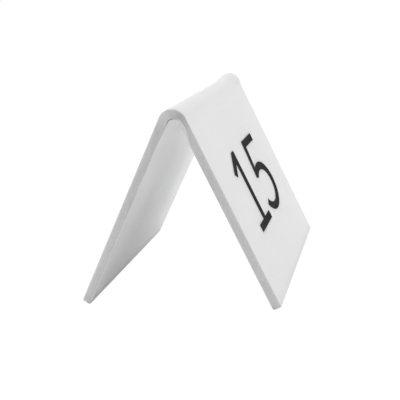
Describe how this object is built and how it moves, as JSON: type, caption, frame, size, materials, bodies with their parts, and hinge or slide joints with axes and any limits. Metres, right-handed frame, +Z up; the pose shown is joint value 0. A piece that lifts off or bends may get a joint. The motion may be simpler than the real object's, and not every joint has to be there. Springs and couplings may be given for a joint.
{
  "type": "table number holder",
  "caption": "Folded sheet tent that stands on a table and shows an engraved, paint-filled table number on each outer face.",
  "frame": {"origin": "on the table at the middle of the footprint", "axes": "+X along the fold, +Z up; the front leg, which is the shorter one, faces -Y"},
  "size_m": [0.06, 0.057, 0.054],
  "materials": {
    "white_sheet": "satin white cast sheet with sawn edges",
    "numeral_paint": "matt black paint fill"
  },
  "bodies": {
    "root": {"tent_sheet": "white_sheet", "front_numeral_1": "numeral_paint", "front_numeral_5": "numeral_paint", "rear_numeral_1": "numeral_paint", "rear_numeral_5": "numeral_paint"}
  },
  "joints": []
}
